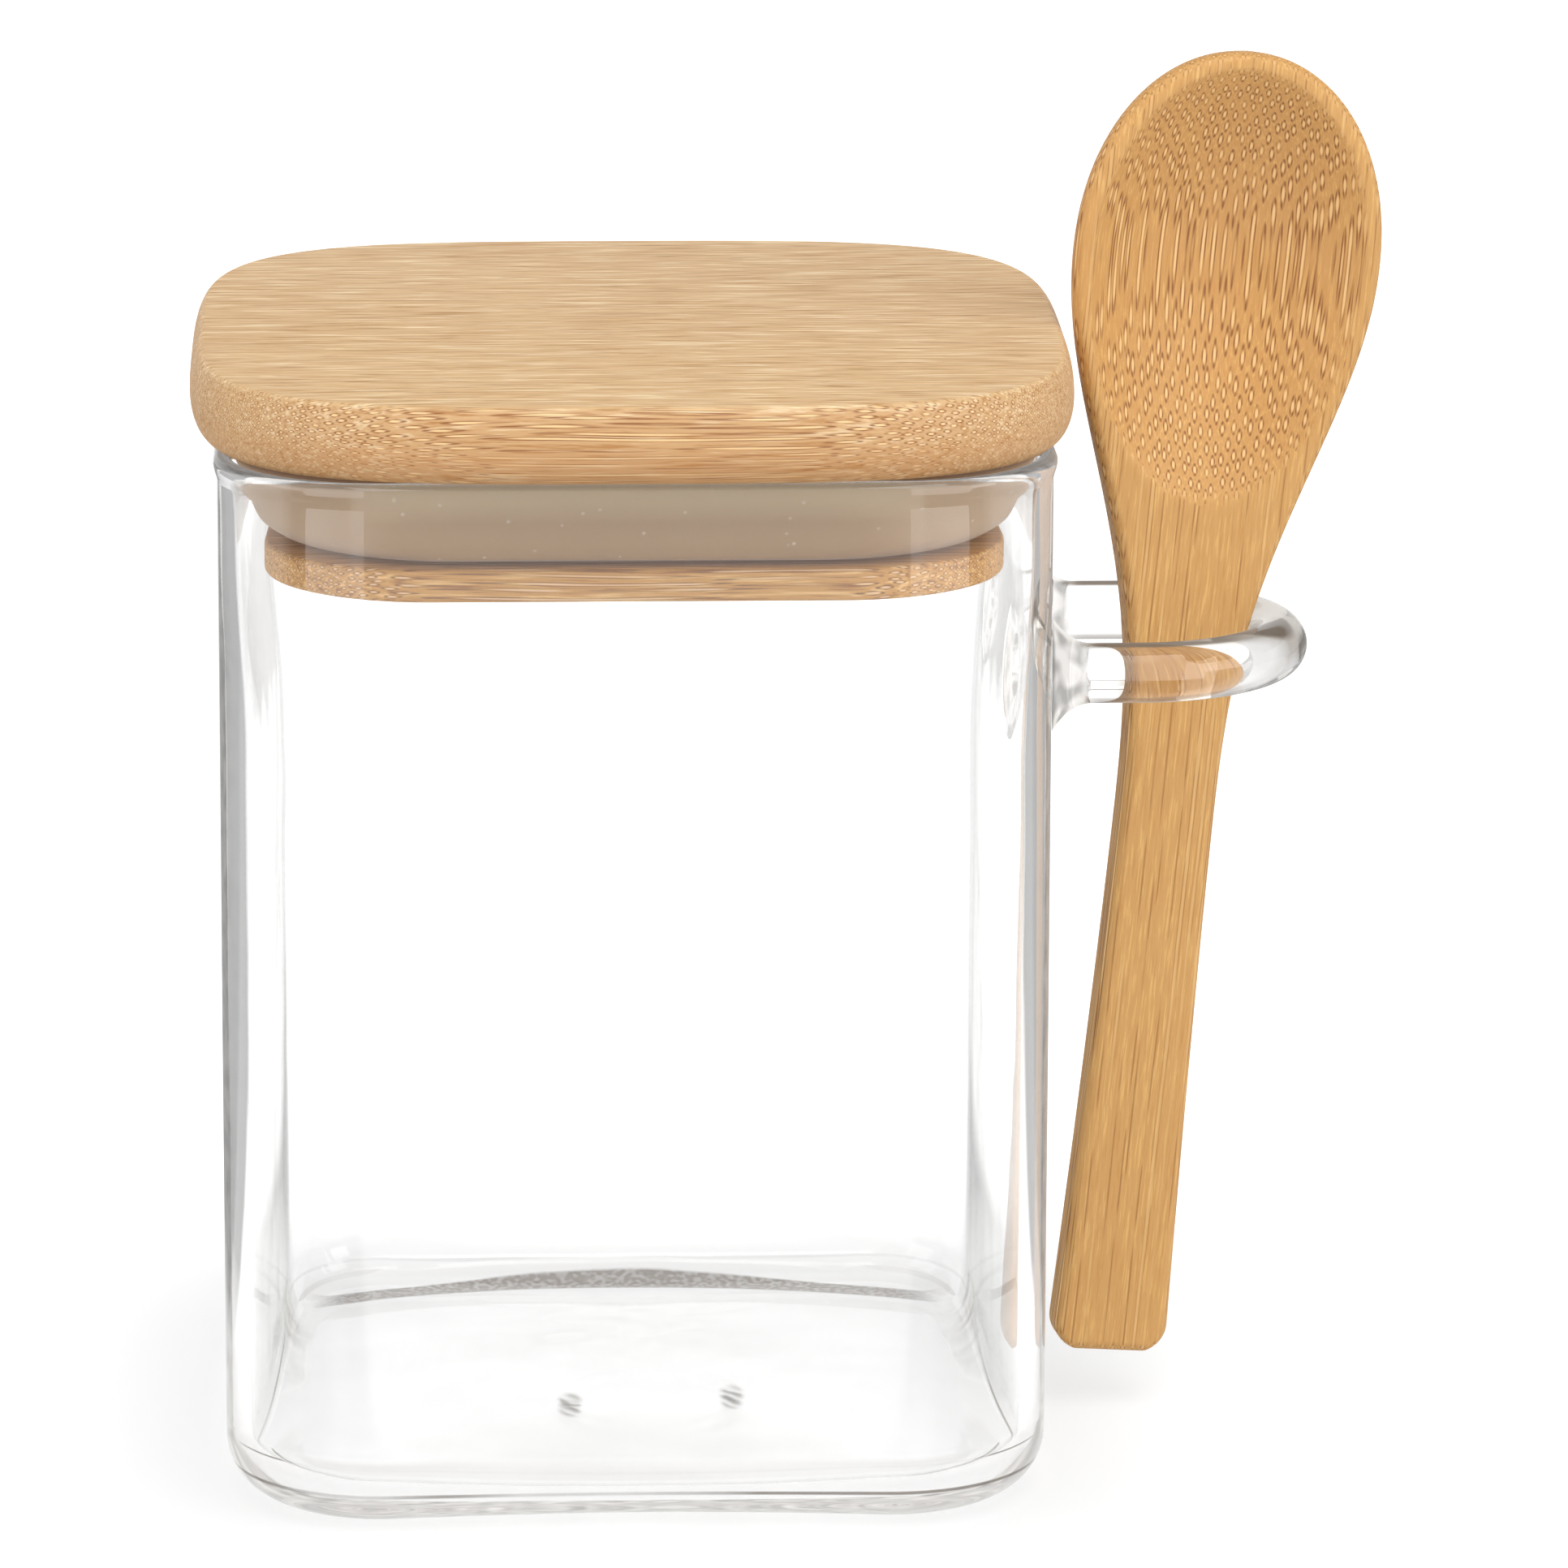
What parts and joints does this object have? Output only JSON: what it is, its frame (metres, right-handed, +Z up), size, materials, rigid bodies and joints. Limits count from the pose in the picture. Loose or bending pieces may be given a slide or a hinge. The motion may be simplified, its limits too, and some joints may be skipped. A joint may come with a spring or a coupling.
{
  "type": "food storage jar",
  "caption": "Square clear glass storage jar with a lift-off bamboo lid, a silicone seal and a bamboo spoon hung in a glass side loop.",
  "frame": {"origin": "middle of the jar's underside, on the surface it stands on", "axes": "+Z is up along the jar, +X points to the glass loop and the spoon, and the spoon's scoop faces -Y"},
  "size_m": [0.1368, 0.1006, 0.1618],
  "materials": {
    "jar_glass": "clear borosilicate glass, fire polished",
    "loop_glass": "clear borosilicate rod, fire polished",
    "lid_bamboo": "sanded bamboo board, lightly oiled",
    "plug_bamboo": "sanded bamboo block, lightly oiled",
    "seal_silicone": "translucent moulded silicone, satin",
    "spoon_bamboo": "carved and sanded bamboo, lightly oiled"
  },
  "bodies": {
    "jar": {"jar_body": "jar_glass", "spoon_loop": "loop_glass"},
    "lid": {"lid_board": "lid_bamboo", "lid_plug": "plug_bamboo", "seal_ring": "seal_silicone"},
    "spoon": {"spoon": "spoon_bamboo"}
  },
  "joints": [
    {"name": "lid_lift", "type": "slide", "parent": "jar", "child": "lid", "axis": [0, 0, 1], "range_m": [0, 0.06]},
    {"name": "spoon_lift", "type": "slide", "parent": "jar", "child": "spoon", "axis": [0.0523, 0, 0.9986], "range_m": [0, 0.13]}
  ]
}
